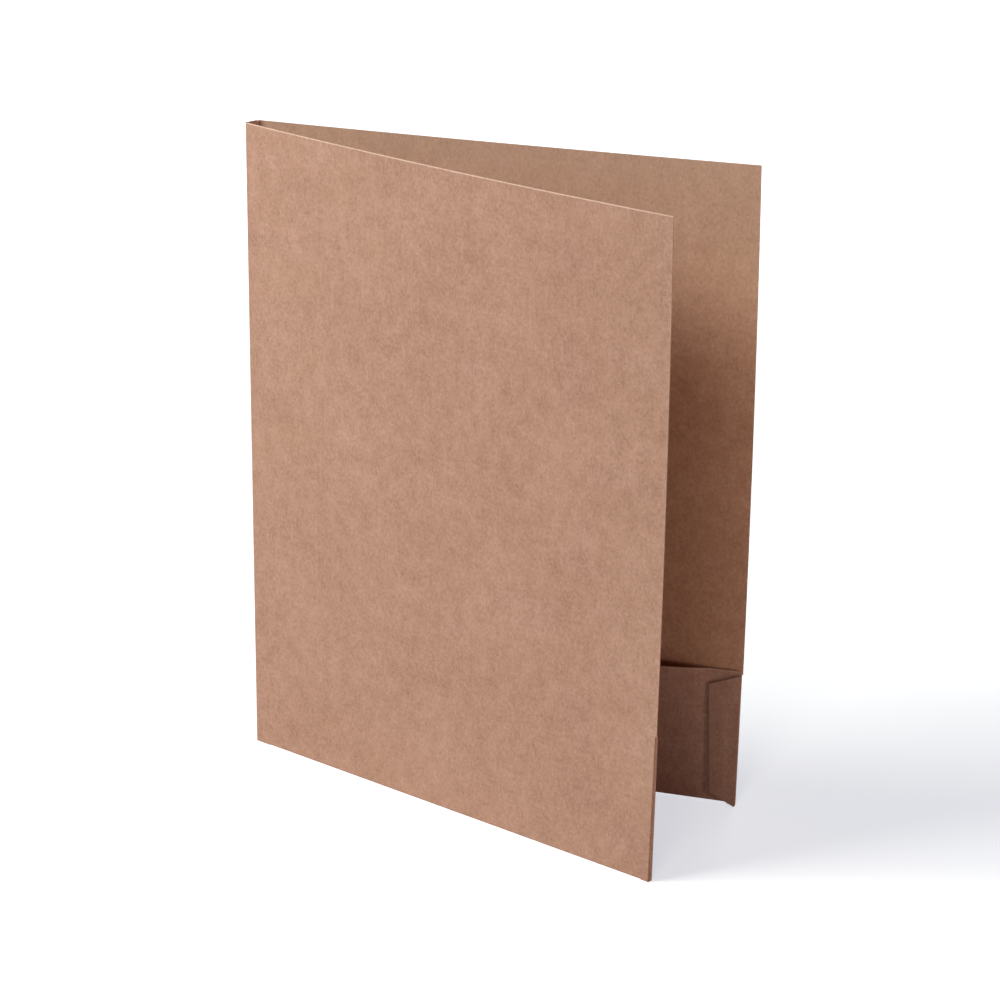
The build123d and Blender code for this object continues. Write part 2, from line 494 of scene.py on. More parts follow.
@dataclass(frozen=True)
class StudioFloor:
    """Pale matt floor that glows a little, keeps the shadow and looks white elsewhere."""

    name: str = "studio_floor"
    colour: Colour = (0.82, 0.745, 0.69, 1.0)
    glow_colour: Colour = (1.0, 0.78, 0.79, 1.0)
    glow: float = 0.04
    lift_colour: Colour = (0.864, 0.921, 1.0, 1.0)
    camera_lift: float = 0.64  # light that only the camera sees, near the folder
    far_lift: float = 1.0
    shadow_reach: float = 0.45  # from here that light grows to its far value
    white_reach: float = 1.2

    def build(self) -> Material:
        """Builds the material.

        Returns:
            The material.
        """
        material, sketch = new_material(self.name)
        place = sketch.add("ShaderNodeTexCoord").outputs["Object"]
        away = sketch.add("ShaderNodeVectorMath", {0: place}, operation="LENGTH").outputs["Value"]
        reach = (self.shadow_reach, self.white_reach)
        rise = sketch.ramp(away, *reach, self.camera_lift, self.far_lift, "SMOOTHSTEP")
        strength = sketch.math("MULTIPLY", sketch.seen(), rise)
        matt = sketch.add("ShaderNodeBsdfDiffuse", {"Color": self.colour})
        glow = sketch.add("ShaderNodeEmission", {"Color": self.glow_colour, "Strength": self.glow})
        lift = sketch.add("ShaderNodeEmission", {"Color": self.lift_colour, "Strength": strength})
        lit = sketch.add("ShaderNodeAddShader", {0: matt.outputs[0], 1: glow.outputs[0]})
        shown = sketch.add("ShaderNodeAddShader", {0: lit.outputs[0], 1: lift.outputs[0]})
        sketch.add("ShaderNodeOutputMaterial", {"Surface": shown.outputs[0]})
        return material


@dataclass(frozen=True)
class Curl:
    """How far a leaf curls towards the front."""

    top: float  # at the middle of its top edge
    edge: float  # at the middle of its free edge
    corner: float  # at its upper free corner


@dataclass(frozen=True)
class Blank:
    """Sizes of the die-cut blank that both leaves share."""

    board: float
    fold_reach: float
    height: float
    cover_end: float
    pocket_inset: float
    base_end: float
    side_line: float
    panel_depth: float
    tab_depth: float
    tab_inner: float
    pocket_slant: float = 0.004
    corner_rise: float = 0.003
    notch_radius: float = 0.0002
    side_bend: float = 0.0003  # middle of the board in the crisp folds of a side wall
    tab_taper: float = 0.0055
    tab_lean: float = 0.003
    glue_film: float = 0.0001
    glue_margin: float = 0.003
    spring_start: float = 0.4  # handles of the curve of a sprung mouth, as shares of its run
    spring_full: float = 0.8

    @classmethod
    def measured(cls, axis: Vector) -> "Blank":
        """Reads the sizes from the back leaf's CAD nodes, whose foot lies square to the frame.

        Args:
            axis: the back spine crease.

        Returns:
            The blank's sizes.
        """
        _, cover_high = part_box("back_cover")
        _, crease_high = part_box("back_base_crease")
        _, side_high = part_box("back_pocket_side")
        base_low, base_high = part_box("back_pocket_base")
        tab_low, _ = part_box("back_glue_tab")
        board = base_high.z - base_low.z
        reach = crease_high.z
        outer_face = axis.y + reach
        return cls(
            board=board,
            fold_reach=reach,
            height=cover_high.z,
            cover_end=cover_high.x - axis.x,
            pocket_inset=base_low.x - axis.x,
            base_end=base_high.x - axis.x,
            side_line=side_high.x - axis.x - reach,
            panel_depth=outer_face - base_low.y + reach - board,
            tab_depth=outer_face - tab_low.y - board,
            tab_inner=tab_low.x - axis.x,
        )

    @property
    def bend(self) -> float:
        """Radius of the middle of the board in every crease."""
        return self.fold_reach - self.board / 2

    @property
    def base_width(self) -> float:
        """Flat strip under a pocket, between its creases."""
        return self.panel_depth + self.board - 2 * self.fold_reach

    @property
    def side_width(self) -> float:
        """Flat strip of a side wall, between its creases."""
        return self.tab_depth - 2 * self.side_bend

    @property
    def fold_line(self) -> float:
        """Start of the fold of a side wall, out from the spine crease."""
        return self.side_line + self.bend - self.side_bend


@dataclass(frozen=True)
class Hairpin:
    """Middle line of a flap that turns back on itself: a bend, a flat wall and a second bend."""

    radius: float
    wall: float
    bend_steps: int = 8
    wall_steps: int = 3

    def points(self) -> list[tuple[float, float, float, float]]:
        """Points of the line.

        Returns:
            Travel along the flap, run past its start, depth, and 1 in the bends and 0 in the wall.
        """
        r = self.radius
        turns = spread(0, pi / 2, self.bend_steps)
        first = [(a * r, r * sin(a), r * (1 - cos(a)), sin(2 * a)) for a in turns]
        arc = pi / 2 * r
        walls = spread(0, self.wall, self.wall_steps)[1:-1]
        middle = [(arc + w, r, r + w, 0.0) for w in walls]
        start, far = arc + self.wall, r + self.wall
        last = [(start + a * r, r * cos(a), far + r * sin(a), sin(2 * a)) for a in turns]
        return first + middle + last

    @property
    def length(self) -> float:
        """Travel from end to end."""
        return pi * self.radius + self.wall

    @property
    def depth(self) -> float:
        """Depth of the returning leg."""
        return 2 * self.radius + self.wall


class Sheet:
    """Middle surface of one piece of board, as points with their place on the blank, and faces."""

    def __init__(self, name: str) -> None:
        """Starts an empty sheet.

        Args:
            name: name of its piece.
        """
        self.name = name
        self.points: list[Vector] = []
        self.places: list[Vector] = []
        self.creases: list[float] = []
        self.wears: list[float] = []
        self.faces: list[Sequence[int]] = []
        self.last_row: list[int] = []

    def add(self, point: Vector, place: Vector, crease: float = 0.0, wear: float = 0.0) -> int:
        """Adds a point.

        Args:
            point: where it is.
            place: where it lies on the blank.
            crease: 1 at the middle of a crease.
            wear: 1 at a handled edge.

        Returns:
            Its index.
        """
        self.points.append(point)
        self.places.append(place)
        self.creases.append(crease)
        self.wears.append(wear)
        return len(self.points) - 1

    def weave(self, spots: Sequence[Spot]) -> None:
        """Adds a row of points and joins it to the row before it with four-sided faces.

        Args:
            spots: the row, as long as the one before it.
        """
        row = [self.add(*spot) for spot in spots]
        for (a, b), (c, d) in zip(pairwise(self.last_row), pairwise(row)):
            self.faces.append((a, b, d, c))
        self.last_row = row

    def to_object(self) -> Piece:
        """Makes a mesh object of the sheet, with its numbers stored on its points.

        Returns:
            The object.
        """
        mesh = bpy.data.meshes.new(self.name)
        mesh.from_pydata([tuple(p) for p in self.points], [], self.faces)
        places = mesh.attributes.new(BLANK_PLACE, "FLOAT_VECTOR", "POINT")
        places.data.foreach_set("vector", [x for place in self.places for x in place])
        for name, values in ((CREASE, self.creases), (EDGE_WEAR, self.wears)):
            mesh.attributes.new(name, "FLOAT", "POINT").data.foreach_set("value", values)
        piece = bpy.data.objects.new(self.name, mesh)
        bpy.context.scene.collection.objects.link(piece)
        return piece


class CurledBoard:
    """Node tree that curls a flat sheet, gives it thickness and turns it to its leaf."""

    FINISHES = ("Upper Finish", "Under Finish", "Cut Finish")
    INPUTS = {
        "NodeSocketFloat": (
            *("Leaf Width", "Leaf Height", "Top Curl", "Edge Curl", "Corner Curl"),
            *("Cockle", "Cockle Scale", "Seed", "Thickness", "Heading"),
        ),
        "NodeSocketVector": ("Crease Axis",),
        "NodeSocketMaterial": FINISHES,
    }
    FALL = 2.0  # power by which a curl dies away

    def __init__(self) -> None:
        """Builds the tree."""
        self.tree = bpy.data.node_groups.new("curled_board", "GeometryNodeTree")
        sockets = self.tree.interface
        sockets.new_socket("Sheet", in_out="INPUT", socket_type="NodeSocketGeometry")
        self.keys = {
            name: sockets.new_socket(name, in_out="INPUT", socket_type=kind).identifier
            for kind, names in self.INPUTS.items()
            for name in names
        }
        sockets.new_socket("Board", in_out="OUTPUT", socket_type="NodeSocketGeometry")
        self.draw()

    def draw(self) -> None:
        """Adds and links the nodes."""
        sketch = NodeSketch(self.tree)
        given = sketch.add("NodeGroupInput").outputs
        sheet = self.curl(sketch, given)
        board, upper, cut = self.thicken(sketch, given, sheet)
        turn = sketch.add("ShaderNodeCombineXYZ", {"Z": given["Heading"]})
        turned = sketch.add(
            "GeometryNodeTransform",
            {"Geometry": board, "Translation": given["Crease Axis"], "Rotation": turn.outputs[0]},
        )
        smooth = sketch.add("GeometryNodeSetShadeSmooth", {"Geometry": turned.outputs[0]})
        real = sketch.add("GeometryNodeRealizeInstances", {"Geometry": smooth.outputs[0]})
        finished = sketch.add(
            "GeometryNodeSetMaterial", {"Geometry": real.outputs[0], "Material": given["Under Finish"]}
        )
        for chosen, finish in ((upper, "Upper Finish"), (cut, "Cut Finish")):
            finished = sketch.add(
                "GeometryNodeSetMaterial",
                {"Geometry": finished.outputs[0], "Selection": chosen, "Material": given[finish]},
            )
        sketch.add("NodeGroupOutput", {"Board": finished.outputs[0]})

    def curl(self, sketch: NodeSketch, given: Any) -> Socket:
        """Bends the middle surface by its curl and a slight cockle.

        Args:
            sketch: the tree.
            given: sockets of the tree's inputs.

        Returns:
            The bent sheet.
        """
        place = sketch.add("GeometryNodeInputPosition").outputs[0]
        axes = sketch.add("ShaderNodeSeparateXYZ", {0: place}).outputs
        across = sketch.math("DIVIDE", axes["X"], given["Leaf Width"], clamp=True)
        height = sketch.math("DIVIDE", axes["Z"], given["Leaf Height"], clamp=True)
        fall_down = sketch.math("POWER", height, self.FALL)
        fall_across = sketch.math("POWER", across, self.FALL)
        top = sketch.product(given["Top Curl"], self.arch(sketch, across), fall_down)
        edge = sketch.product(given["Edge Curl"], self.arch(sketch, height), fall_across)
        corner = sketch.product(given["Corner Curl"], across, height)
        bulge = sketch.math("ADD", sketch.math("ADD", top, edge), corner)
        noise = sketch.add(
            "ShaderNodeTexNoise",
            {"Vector": place, "W": given["Seed"], "Scale": given["Cockle Scale"], "Detail": 1.0},
            noise_dimensions="4D",
        )
        cockle = sketch.product(sketch.swing(noise.outputs[0], given["Cockle"]), across)
        shift = sketch.math("SUBTRACT", cockle, bulge)
        offset = sketch.add("ShaderNodeCombineXYZ", {"Y": shift}).outputs[0]
        moved = {"Geometry": given["Sheet"], "Offset": offset}
        return sketch.add("GeometryNodeSetPosition", moved).outputs[0]

    @staticmethod
    def arch(sketch: NodeSketch, share: Socket) -> Socket:
        """Socket that is 0 at both ends of a share and 1 at its middle."""
        return sketch.product(4.0, share, sketch.math("SUBTRACT", 1.0, share))

    def thicken(self, sketch: NodeSketch, given: Any, sheet: Any) -> tuple[Any, Any, Any]:
        """Gives the sheet its thickness, half to each side.

        Args:
            sketch: the tree.
            given: sockets of the tree's inputs.
            sheet: socket of the bent sheet.

        Returns:
            Sockets of the closed board and of the selections of its upper face and its cut edges.
        """
        normal = sketch.add("GeometryNodeInputNormal").outputs[0]
        half = sketch.math("MULTIPLY", given["Thickness"], -0.5)
        step = sketch.add("ShaderNodeVectorMath", {0: normal, "Scale": half}, operation="SCALE")
        low = sketch.add("GeometryNodeSetPosition", {"Geometry": sheet, "Offset": step.outputs[0]})
        raised = sketch.add(
            "GeometryNodeExtrudeMesh",
            {"Mesh": low.outputs[0], "Offset Scale": given["Thickness"], "Individual": False},
            mode="FACES",
        )
        under = sketch.add("GeometryNodeFlipFaces", {"Mesh": low.outputs[0]})
        both = sketch.add("GeometryNodeJoinGeometry")
        for part in (raised, under):
            self.tree.links.new(part.outputs[0], both.inputs[0])
        closed = sketch.add("GeometryNodeMergeByDistance", {"Geometry": both.outputs[0], "Distance": NEAR})
        return closed.outputs[0], raised.outputs["Top"], raised.outputs["Side"]

    def make(self, sheet: Sheet, values: dict[str, Any]) -> Piece:
        """Runs the tree on a sheet and keeps the result as a plain mesh.

        Args:
            sheet: the flat sheet.
            values: the tree's inputs by name.

        Returns:
            The piece.
        """
        piece = sheet.to_object()
        modifier = piece.modifiers.new("curled_board", "NODES")
        modifier.node_group = self.tree
        for name, value in values.items():
            modifier[self.keys[name]] = value
        graph = bpy.context.evaluated_depsgraph_get()
        made = bpy.data.meshes.new_from_object(
            piece.evaluated_get(graph), preserve_all_data_layers=True, depsgraph=graph
        )
        piece.modifiers.clear()
        flat = piece.data
        piece.data = made
        bpy.data.meshes.remove(flat)
        made.name = piece.name
        made.set_sharp_from_angle(angle=SHARP_ANGLE)
        return piece


@dataclass(frozen=True)
class Finishes:
    """Materials of the folder."""

    outside: Material
    inside: Material
    cut: Material
    glue: Material

    @classmethod
    def built(cls) -> "Finishes":
        """Builds every material once."""
        return cls(KraftFace().build(), PALE_SIDE.build(), CutBoard().build(), DriedGlue().build())

    def board(self, inside_up: bool) -> dict[str, Material]:
        """Inputs of the node tree for a piece of board.

        Args:
            inside_up: whether the sheet's faces point to the inside of the blank.

        Returns:
            Materials by input name.
        """
        upper, under = (self.inside, self.outside) if inside_up else (self.outside, self.inside)
        return dict(zip(CurledBoard.FINISHES, (upper, under, self.cut)))

    def film(self) -> dict[str, Material]:
        """Inputs of the node tree for a film of glue."""
        return dict.fromkeys(CurledBoard.FINISHES, self.glue)


@dataclass(frozen=True)
class MeshSteps:
    """How finely the sheets of a leaf are divided."""

    grid: float = 0.006  # between the points of a cover
    notch: int = 18
    panel_columns: tuple[int, int] = (60, 16)  # over the long stretch and over the finer end
    corner_rows: int = 3
    panel_rows: int = 22
    wall_rows: tuple[int, int] = (20, 8)
    tab_columns: int = 14
    tab_inner: float = 0.94  # share of the tab's width before its last column
    glue_columns: int = 6
    glue_rows: int = 16


@dataclass
class Leaf:
    """One cover with its pocket, side wall, tab and glue."""

    name: LeafName
    blank: Blank
    axis: Vector
    heading: float
    inward: float  # sign of the inside along the leaf's own y
    pocket_height: float
    side_top: float
    spring: float
    curl: Curl
    base_lift: float
    seed: float
    mouth_pinch: float = 0.0008  # side wall narrower by this at its top
    pinch_run: float = 0.045  # pocket panel eases into that pinch over this length
    tab_curl: float = 0.0004  # free edges of the tab stand off the panel
    stand_start: float = 0.1  # share of the tab's width where it starts to stand off
    stand_run: float = 0.5
    tip_start: float = 0.8  # share of the tab's height where its top starts to stand off
    tip_run: float = 0.15
    tip_reach: float = 0.2  # share of the tab's width over which its top eases off the wall
    tip_drop: float = 0.0002  # rounded top of the side wall where it meets the cover
    edge_band: float = 0.0008
    mouth_wear: float = 0.2
    side_wear: float = 0.1
    cockle: float = 0.0003
    cockle_scale: float = 14.0
    mouth_halvings: int = 32  # rounds of the search for a place on the mouth's curve
    steps: MeshSteps = MeshSteps()

    def point(self, x: float, depth: float, z: float) -> Vector:
        """Point on the leaf's own axes, from its depth in from the outer face of the cover."""
        return Vector((x, self.inward * (depth - self.blank.fold_reach), z))

    def place(self, x: float, z: float) -> Vector:
        """Place on the blank, which carries the front leaf to the left of the back one."""
        return Vector((self.inward * -x, 0.0, z))

    def lift(self, x: float) -> float:
        """Height of the base crease above its cut line, as it runs slightly askew."""
        return self.base_lift * x / self.blank.base_end

    def mouth_bow(self, x: float) -> float:
        """How far the pocket mouth is sprung open.

        Args:
            x: place along the mouth.

        Returns:
            Depth added to the flat panel.
        """
        blank = self.blank
        run = blank.tab_inner - blank.pocket_inset
        share = min(max((x - blank.pocket_inset) / run, 0.0), 1.0)
        low, high = 0.0, 1.0
        for _ in range(self.mouth_halvings):
            t = (low + high) / 2
            at = 3 * t * (1 - t) ** 2 * blank.spring_start + 3 * t * t * (1 - t) * blank.spring_full + t**3
            low, high = (t, high) if at < share else (low, t)
        return 3 * low * low * (1 - low) * self.spring

    def pinch(self, x: float, z: float) -> float:
        """How far the pocket is pressed shut towards the side wall's top."""
        reach = smooth_step((x - self.blank.tab_inner + self.pinch_run) / self.pinch_run)
        return self.mouth_pinch * reach * min(z / self.side_top, 1.0)

    def cover_outline(self) -> Outline:
        """Draws the cover's outline, with the notch where the side crease ends.

        Returns:
            Its corners as x and z.
        """
        blank = self.blank
        reach = blank.fold_reach
        radius = blank.notch_radius
        notch = [
            (blank.fold_line + radius * cos(a), self.side_top + radius * sin(a))
            for a in spread(1.5 * pi, 0, self.steps.notch)
        ]
        return [
            (0.0, 0.0),
            (blank.pocket_inset, 0.0),
            (blank.pocket_inset, reach + self.lift(blank.pocket_inset)),
            (blank.base_end, reach + self.lift(blank.base_end)),
            (blank.base_end + reach, 0.0),
            (blank.fold_line, 0.0),
            *notch,
            (blank.cover_end, self.side_top),
            (blank.cover_end, blank.height),
            (0.0, blank.height),
        ]

    def cover_sheet(self) -> Sheet:
        """Fills the cover's outline over an even grid of points.

        Returns:
            The sheet.
        """
        blank = self.blank
        outline = self.dense_outline(self.cover_outline())
        band = self.edge_band
        columns = int(blank.cover_end / self.steps.grid)
        rows = int(blank.height / self.steps.grid)
        inner = [
            (x, z)
            for x in spread(band, blank.fold_line - 2 * band, columns)
            for z in spread(2 * band, blank.height - band, rows)
        ]
        side = spread(self.side_top + band, blank.height - band, rows)
        inner += [(blank.cover_end - band / 2, z) for z in side]
        loop = list(range(len(outline)))
        flat = [Vector(p) for p in outline + inner]
        inside_only = 1
        points, _, faces, *_ = delaunay_2d_cdt(flat, [], [loop], inside_only, NEAR)
        sheet = Sheet(f"{self.name.value}_cover_board")
        for p in points:
            wear = self.side_wear if blank.cover_end - p.x < band / 4 else 0.0
            sheet.add(self.point(p.x, blank.board / 2, p.y), self.place(p.x, p.y), wear=wear)
        sheet.faces = list(faces)
        return sheet

    def dense_outline(self, outline: Outline) -> Outline:
        """Adds points along the long sides of an outline, so that it can curl.

        Args:
            outline: its corners.

        Returns:
            Corners and added points.
        """
        dense: Outline = []
        for start, end in zip(outline, outline[1:] + outline[:1]):
            length = (Vector(end) - Vector(start)).length
            steps = max(1, round(length / self.steps.grid))
            dense += [tuple(Vector(start).lerp(Vector(end), i / steps)) for i in range(steps)]
        return dense

    def pocket_sheet(self) -> Sheet:
        """Shapes the pocket flap: two creases under the cover and the panel that rises from them.

        Returns:
            The sheet.
        """
        blank = self.blank
        sheet = Sheet(f"{self.name.value}_pocket_flap")
        turn = Hairpin(blank.bend, blank.base_width)
        middle = blank.board / 2
        shares = finer_end(*self.steps.panel_columns)
        for travel, run, depth, crease in turn.points():
            row = []
            for share in shares:
                x = blank.pocket_inset + share * (blank.base_end - blank.pocket_inset)
                z = blank.fold_reach - run + self.lift(x)
                row.append((self.point(x, middle + depth, z), self.place(x, -travel), crease, 0.0))
            sheet.weave(row)
        rise = self.pocket_height - blank.fold_reach
        climbs = spread(0, blank.corner_rise, self.steps.corner_rows)[1:]
        climbs += spread(blank.corner_rise, rise, self.steps.panel_rows)[1:]
        brim = climbs[-1]
        climbs.insert(-1, brim - self.edge_band)
        for climb in climbs:
            corner = min(climb / blank.corner_rise, 1.0)
            start = blank.pocket_inset + blank.pocket_slant * climb / rise
            stop = blank.base_end + corner * (blank.side_line - blank.base_end)
            wear = self.mouth_wear if climb == brim else 0.0
            row = []
            for share in shares:
                x = start + share * (stop - start)
                z = blank.fold_reach + climb + self.lift(x) * (1 - climb / rise)
                bow = self.mouth_bow(x) * climb / rise
                depth = middle + turn.depth + bow - self.pinch(x, z)
                row.append((self.point(x, depth, z), self.place(x, -turn.length - climb), 0.0, wear))
            sheet.weave(row)
        return sheet

    def tab_corner(self, share: float, rise: float, inset: float = 0.0) -> tuple[float, float]:
        """Point of the tab.

        Args:
            share: 0 at the side wall and 1 at the free edge.
            rise: 0 at the foot and 1 at the top.
            inset: distance kept from every edge.

        Returns:
            Its x and z.
        """
        blank = self.blank
        inner = blank.tab_inner + inset + blank.tab_lean * (1 - rise)
        outer = blank.fold_line - inset
        low = blank.tab_taper * share + inset
        high = self.side_top - blank.tab_taper * share - inset
        return outer + share * (inner - outer), low + rise * (high - low)

    def tab_stand(self, share: float, rise: float) -> float:
        """How far the tab stands off the panel beyond its glue.

        Args:
            share: 0 at the side wall and 1 at the free edge.
            rise: 0 at the foot and 1 at the top.

        Returns:
            Depth added to the flat tab.
        """
        free = smooth_step((share - self.stand_start) / self.stand_run)
        top = smooth_step((rise - self.tip_start) / self.tip_run) * smooth_step(share / self.tip_reach)
        return self.tab_curl * max(free, top)

    def side_sheet(self) -> Sheet:
        """Shapes the side flap: the wall between its two creases, and the tab laid over the pocket.

        Returns:
            The sheet.
        """
        blank = self.blank
        sheet = Sheet(f"{self.name.value}_side_flap")
        turn = Hairpin(blank.side_bend, blank.side_width)
        middle = blank.board / 2
        rises = finer_end(*self.steps.wall_rows)
        for travel, run, depth, crease in turn.points():
            drop = self.tip_drop * (1 - smooth_step(travel / (turn.length / 2)))
            press = min(max((depth - blank.side_bend) / blank.side_width, 0.0), 1.0)
            row = []
            for rise in rises:
                z = rise * (self.side_top - drop)
                inset = self.mouth_pinch * press * rise
                point = self.point(blank.fold_line + run, middle + depth - inset, z)
                row.append((point, self.place(blank.fold_line + travel, z), crease, 0.0))
            sheet.weave(row)
        for share in [*spread(0, self.steps.tab_inner, self.steps.tab_columns)[1:], 1.0]:
            wear = self.side_wear if share == 1.0 else 0.0
            row = []
            for rise in rises:
                x, z = self.tab_corner(share, rise)
                depth = middle + turn.depth - self.pinch(x, z) + self.tab_stand(share, rise)
                place = self.place(blank.fold_line + turn.length + blank.fold_line - x, z)
                row.append((self.point(x, depth, z), place, 0.0, wear))
            sheet.weave(row)
        return sheet

    def glue_sheet(self) -> Sheet:
        """Shapes the film of glue under the tab, set back from its edges.

        Returns:
            The sheet.
        """
        blank = self.blank
        sheet = Sheet(f"{self.name.value}_glue_film")
        depth = blank.panel_depth + blank.board + blank.glue_film / 2
        for share in spread(0, 1, self.steps.glue_columns):
            row = []
            for rise in spread(0, 1, self.steps.glue_rows):
                x, z = self.tab_corner(share, rise, blank.glue_margin)
                row.append((self.point(x, depth - self.pinch(x, z), z), self.place(x, z), 0.0, 0.0))
            sheet.weave(row)
        return sheet

    def build(self, tree: CurledBoard, finishes: Finishes) -> list[Piece]:
        """Makes the leaf's pieces and fits them to their body.

        Args:
            tree: the board's node tree.
            finishes: the materials.

        Returns:
            The pieces.
        """
        flaps_up = self.inward > 0
        plan = (
            (self.cover_sheet(), not flaps_up, ("cover",)),
            (self.pocket_sheet(), flaps_up, ("base_crease", "pocket_base", "pocket_crease", "pocket_panel")),
            (self.side_sheet(), flaps_up, ("side_crease", "pocket_side", "tab_crease", "glue_tab")),
        )
        pieces = []
        for sheet, inside_up, words in plan:
            piece = tree.make(sheet, self.inputs(self.blank.board) | finishes.board(inside_up))
            pieces.append(self.fit(piece, words))
        glue = tree.make(self.glue_sheet(), self.inputs(self.blank.glue_film) | finishes.film())
        pieces.append(self.fit(glue, ("glue_line",)))
        return pieces

    def inputs(self, thickness: float) -> dict[str, Any]:
        """Values of the node tree for the shape of one piece of this leaf.

        Args:
            thickness: thickness of the piece.

        Returns:
            Values by input name.
        """
        return {
            "Leaf Width": self.blank.cover_end,
            "Leaf Height": self.blank.height,
            "Top Curl": self.curl.top,
            "Edge Curl": self.curl.edge,
            "Corner Curl": self.curl.corner,
            "Cockle": self.cockle,
            "Cockle Scale": self.cockle_scale,
            "Seed": self.seed,
            "Thickness": thickness,
            "Heading": self.heading,
            "Crease Axis": self.axis,
        }

    def fit(self, piece: Piece, words: Sequence[str]) -> Piece:
        """Puts a piece on the leaf's body in place of its CAD nodes.

        Args:
            piece: the piece.
            words: names of the nodes within the leaf.

        Returns:
            The same piece.
        """
        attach(piece, self.name.body)
        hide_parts(*self.name.nodes(*words))
        return piece


@dataclass
class Spine:
    """Narrow strip between the covers, with the bend on each side of it."""

    blank: Blank
    back_axis: Vector
    front_axis: Vector
    back_start: float  # angle of the outside of the back cover about its crease
    front_stop: float
    rows: int = 40
    columns: int = 6
    bend_steps: int = 10
    slack: float = 0.00005  # keeps the strip clear of the covers when they lie flat

    @property
    def facing(self) -> float:
        """Angle of the outside of the strip."""
        run = self.front_axis - self.back_axis
        return atan2(run.y, run.x) - pi / 2

    def strip(self, name: str, line: Sequence[LinePoint]) -> Sheet:
        """Upright strip of board over a line on the floor.

        Args:
            name: the piece's name.
            line: points of its middle, with their place across the blank and their crease.

        Returns:
            The sheet.
        """
        sheet = Sheet(name)
        for z in spread(0, self.blank.height, self.rows):
            sheet.weave([(p + UP * z, Vector((across, 0.0, z)), crease, 0.0) for p, across, crease in line])
        return sheet

    def around(self, axis: Vector, angle: float) -> Vector:
        """Point of the middle of the board about a crease."""
        return axis + Vector((cos(angle), sin(angle), 0)) * self.blank.bend

    def bend_line(self, axis: Vector, start: float, stop: float, across: float) -> list[LinePoint]:
        """Middle line of a bend.

        Args:
            axis: its crease.
            start, stop: angles of the outside before and after it.
            across: place of its start on the blank.

        Returns:
            Its points, with their place across the blank and their crease.
        """
        line = []
        for share in spread(0, 1, self.bend_steps):
            angle = start + share * (stop - start)
            travel = share * abs(stop - start) * self.blank.bend
            line.append((self.around(axis, angle), across - travel, sin(pi * share)))
        return line

    def build(self, tree: CurledBoard, finishes: Finishes) -> list[Piece]:
        """Makes the strip and its bends, and fits the strip to its body.

        Args:
            tree: the board's node tree.
            finishes: the materials.

        Returns:
            The pieces.
        """
        facing = self.facing
        back = self.bend_line(self.back_axis, self.back_start, facing, 0.0)
        width = (self.front_axis - self.back_axis).length
        left = back[-1][1]
        first, last = self.around(self.back_axis, facing), self.around(self.front_axis, facing)
        inset = self.slack / width
        shares = spread(inset, 1 - inset, self.columns)
        flat = [(first.lerp(last, share), left - share * width, 0.0) for share in shares]
        front = self.bend_line(self.front_axis, facing, self.front_stop, left - width)
        strip = self.finish(self.strip("spine_board", flat), tree, finishes)
        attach(strip, "spine")
        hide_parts("spine")
        back_bend = self.finish(self.strip("back_spine_bend", back), tree, finishes)
        self.flex(back_bend)
        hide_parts("back_spine_crease")
        front_bend = self.finish(self.strip("front_spine_bend", front), tree, finishes)
        self.flex(front_bend)
        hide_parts("front_spine_crease")
        pieces = [strip, back_bend, front_bend]
        return pieces

    def finish(self, sheet: Sheet, tree: CurledBoard, finishes: Finishes) -> Piece:
        """Gives a strip its thickness and materials.

        Args:
            sheet: its middle surface.
            tree: the board's node tree.
            finishes: the materials.

        Returns:
            The piece.
        """
        shape = {
            "Leaf Width": self.blank.cover_end,
            "Leaf Height": self.blank.height,
            "Thickness": self.blank.board,
        }
        return tree.make(sheet, shape | finishes.board(inside_up=False))

    def flex(self, piece: Piece) -> None:
        """Bakes a bend's place into its mesh; the bend rides on no body.

        Args:
            piece: the bend.
        """
        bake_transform(piece)


@dataclass(frozen=True)
class SoftLight:
    """Round lamp aimed at the folder from an azimuth and elevation in degrees."""

    name: str
    azimuth: float
    elevation: float
    breadth: float  # degrees that it covers, seen from the folder
    level: float  # share of full daylight that it gives a surface turned to it
    colour: tuple[float, float, float] = (1.0, 1.0, 1.0)
    distance: float = 8.0

    def build(self, target: Vector) -> None:
        """Makes the lamp.

        Args:
            target: point that it is aimed at.
        """
        turn = radians(self.azimuth)
        tilt = radians(self.elevation)
        away = Vector((sin(turn) * cos(tilt), -cos(turn) * cos(tilt), sin(tilt)))
        lamp = bpy.data.lights.new(self.name, "AREA")
        lamp.shape = "DISK"
        lamp.size = 2 * self.distance * tan(radians(self.breadth / 2))
        lamp.energy = self.level * (pi * self.distance) ** 2
        lamp.color = self.colour
        holder = bpy.data.objects.new(self.name, lamp)
        holder.location = target + away * self.distance
        holder.rotation_mode = "QUATERNION"
        holder.rotation_quaternion = (-away).to_track_quat("-Z", "Y")
        holder.visible_camera = False
        bpy.context.scene.collection.objects.link(holder)


